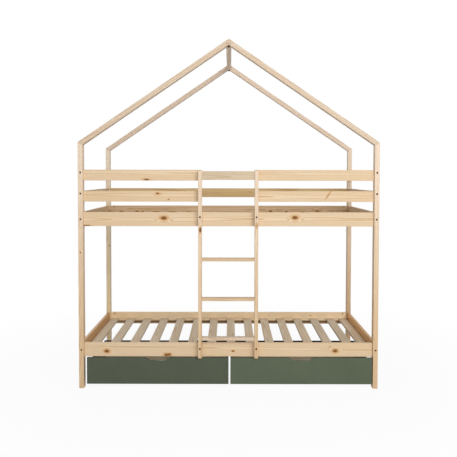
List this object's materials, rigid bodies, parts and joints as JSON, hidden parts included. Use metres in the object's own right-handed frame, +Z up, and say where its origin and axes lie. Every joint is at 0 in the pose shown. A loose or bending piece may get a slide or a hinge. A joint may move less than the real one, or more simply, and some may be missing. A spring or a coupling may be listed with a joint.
{
  "type": "house bunk bed",
  "caption": "House-shaped pine bunk bed: slatted decks between posts, gabled roof outlines joined by a ridge beam, guard rails, a front ladder and rolling drawers underneath.",
  "frame": {"origin": "on the floor under the middle of the bed's bounding box", "axes": "+Z up, +X along the bed to the right of a viewer who faces the ladder, +Y from the ladder side to the wall side"},
  "size_m": [1.98, 1.029, 2.3027],
  "materials": {
    "pine": "satin clear lacquer on planed pine with knots",
    "slat_pine": "planed, unfinished pine",
    "painted_board": "satin grey-green paint on board",
    "plywood": "bare thin plywood",
    "castor_plastic": "black moulded plastic",
    "bolt_steel": "bronzed steel"
  },
  "bodies": {
    "bed_frame": {"post_front_left": "pine", "post_front_right": "pine", "post_back_left": "pine", "post_back_right": "pine", "rafter_front_left": "pine", "rafter_front_right": "pine", "rafter_back_left": "pine", "rafter_back_right": "pine", "ridge_beam": "pine", "side_rail_lower_front": "pine", "side_rail_lower_back": "pine", "side_rail_upper_front": "pine", "side_rail_upper_back": "pine", "end_rail_lower_left": "pine", "end_rail_lower_right": "pine", "end_rail_upper_left": "pine", "end_rail_upper_right": "pine", "guard_low_front_left": "pine", "guard_low_front_right": "pine", "guard_low_back": "pine", "guard_low_end_left": "pine", "guard_low_end_right": "pine", "guard_high_front_left": "pine", "guard_high_front_right": "pine", "guard_high_back": "pine", "guard_high_end_left": "pine", "guard_high_end_right": "pine", "ledger_lower_front": "pine", "ledger_lower_back": "pine", "ledger_upper_front": "pine", "ledger_upper_back": "pine", "slat_deck_lower": "slat_pine", "slat_deck_upper": "slat_pine", "ladder_upright_left": "pine", "ladder_upright_right": "pine", "ladder_rung_1": "pine", "ladder_rung_2": "pine", "ladder_rung_3": "pine", "ladder_bolt_lower_left": "bolt_steel", "ladder_bolt_lower_right": "bolt_steel", "ladder_bolt_upper_left": "bolt_steel", "ladder_bolt_upper_right": "bolt_steel"},
    "drawer_left": {"drawer_left_front": "painted_board", "drawer_left_back": "painted_board", "drawer_left_bottom": "plywood", "drawer_left_side_left": "painted_board", "drawer_left_side_right": "painted_board"},
    "drawer_right": {"drawer_right_front": "painted_board", "drawer_right_back": "painted_board", "drawer_right_bottom": "plywood", "drawer_right_side_left": "painted_board", "drawer_right_side_right": "painted_board"},
    "wheel_left_front_left": {"drawer_left_wheel_front_left": "castor_plastic"},
    "wheel_left_front_right": {"drawer_left_wheel_front_right": "castor_plastic"},
    "wheel_left_back_left": {"drawer_left_wheel_back_left": "castor_plastic"},
    "wheel_left_back_right": {"drawer_left_wheel_back_right": "castor_plastic"},
    "wheel_right_front_left": {"drawer_right_wheel_front_left": "castor_plastic"},
    "wheel_right_front_right": {"drawer_right_wheel_front_right": "castor_plastic"},
    "wheel_right_back_left": {"drawer_right_wheel_back_left": "castor_plastic"},
    "wheel_right_back_right": {"drawer_right_wheel_back_right": "castor_plastic"}
  },
  "joints": [
    {"name": "drawer_left_slide", "type": "slide", "parent": "bed_frame", "child": "drawer_left", "axis": [0, -1, 0], "range_m": [0, 0.6]},
    {"name": "drawer_right_slide", "type": "slide", "parent": "bed_frame", "child": "drawer_right", "axis": [0, -1, 0], "range_m": [0, 0.6]},
    {"name": "spin_left_front_left", "type": "hinge", "parent": "drawer_left", "child": "wheel_left_front_left", "pos_m": [-0.9167, -0.3835, 0.02], "axis": [1, 0, 0], "continuous": true},
    {"name": "spin_left_front_right", "type": "hinge", "parent": "drawer_left", "child": "wheel_left_front_right", "pos_m": [-0.0213, -0.3835, 0.02], "axis": [1, 0, 0], "continuous": true},
    {"name": "spin_left_back_left", "type": "hinge", "parent": "drawer_left", "child": "wheel_left_back_left", "pos_m": [-0.9167, 0.0405, 0.02], "axis": [1, 0, 0], "continuous": true},
    {"name": "spin_left_back_right", "type": "hinge", "parent": "drawer_left", "child": "wheel_left_back_right", "pos_m": [-0.0213, 0.0405, 0.02], "axis": [1, 0, 0], "continuous": true},
    {"name": "spin_right_front_left", "type": "hinge", "parent": "drawer_right", "child": "wheel_right_front_left", "pos_m": [0.0363, -0.3835, 0.02], "axis": [1, 0, 0], "continuous": true},
    {"name": "spin_right_front_right", "type": "hinge", "parent": "drawer_right", "child": "wheel_right_front_right", "pos_m": [0.9317, -0.3835, 0.02], "axis": [1, 0, 0], "continuous": true},
    {"name": "spin_right_back_left", "type": "hinge", "parent": "drawer_right", "child": "wheel_right_back_left", "pos_m": [0.0363, 0.0405, 0.02], "axis": [1, 0, 0], "continuous": true},
    {"name": "spin_right_back_right", "type": "hinge", "parent": "drawer_right", "child": "wheel_right_back_right", "pos_m": [0.9317, 0.0405, 0.02], "axis": [1, 0, 0], "continuous": true}
  ],
  "couplings": [
    {"joint": "spin_left_front_left", "follows": "drawer_left_slide", "rad_per_m": 50},
    {"joint": "spin_left_front_right", "follows": "drawer_left_slide", "rad_per_m": 50},
    {"joint": "spin_left_back_left", "follows": "drawer_left_slide", "rad_per_m": 50},
    {"joint": "spin_left_back_right", "follows": "drawer_left_slide", "rad_per_m": 50},
    {"joint": "spin_right_front_left", "follows": "drawer_right_slide", "rad_per_m": 50},
    {"joint": "spin_right_front_right", "follows": "drawer_right_slide", "rad_per_m": 50},
    {"joint": "spin_right_back_left", "follows": "drawer_right_slide", "rad_per_m": 50},
    {"joint": "spin_right_back_right", "follows": "drawer_right_slide", "rad_per_m": 50}
  ]
}
